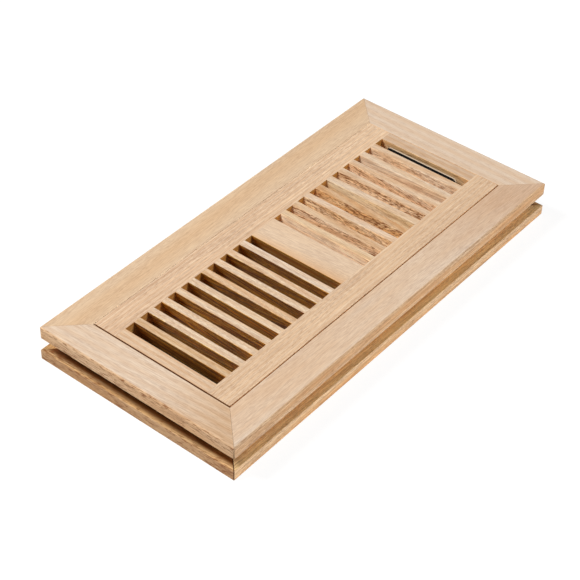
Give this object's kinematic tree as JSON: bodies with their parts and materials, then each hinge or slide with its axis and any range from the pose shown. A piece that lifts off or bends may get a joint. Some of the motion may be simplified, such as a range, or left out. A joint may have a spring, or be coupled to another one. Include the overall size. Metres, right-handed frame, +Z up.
{
  "type": "floor register",
  "caption": "Flush wooden floor register: a mitred frame with a grooved outer edge, a lift-out insert of slats that lean outwards in two banks, and a slide damper under them.",
  "frame": {"origin": "middle of the frame's underside", "axes": "+X along the register towards the end with the damper's tab, +Z up out of the floor"},
  "size_m": [0.316, 0.1514, 0.0254],
  "materials": {
    "frame_oak": "sanded, unfinished oak",
    "insert_oak": "sanded, unfinished oak",
    "slat_oak": "sawn oak, sanded on top",
    "spline_wood": "pressed beech",
    "black_steel": "satin black",
    "zinc_screw": "zinc plated"
  },
  "bodies": {
    "register": {"frame_rail_front": "frame_oak", "frame_rail_back": "frame_oak", "frame_rail_left": "frame_oak", "frame_rail_right": "frame_oak", "frame_splines": "spline_wood", "insert_stile_left": "insert_oak", "insert_stile_right": "insert_oak", "insert_end_rail_front": "insert_oak", "insert_end_rail_back": "insert_oak", "insert_centre_rail": "insert_oak", "slat_front_1": "slat_oak", "slat_front_2": "slat_oak", "slat_front_3": "slat_oak", "slat_front_4": "slat_oak", "slat_front_5": "slat_oak", "slat_front_6": "slat_oak", "slat_front_7": "slat_oak", "slat_front_8": "slat_oak", "slat_front_9": "slat_oak", "slat_back_1": "slat_oak", "slat_back_2": "slat_oak", "slat_back_3": "slat_oak", "slat_back_4": "slat_oak", "slat_back_5": "slat_oak", "slat_back_6": "slat_oak", "slat_back_7": "slat_oak", "slat_back_8": "slat_oak", "slat_back_9": "slat_oak", "damper_guide_left": "black_steel", "damper_guide_right": "black_steel", "guide_screws": "zinc_screw"},
    "damper": {"damper_slide": "black_steel", "damper_tab": "black_steel", "damper_rivets": "black_steel"}
  },
  "joints": [
    {"name": "damper_travel", "type": "slide", "parent": "register", "child": "damper", "axis": [1, 0, 0], "range_m": [-0.00337, 0.0026]}
  ]
}
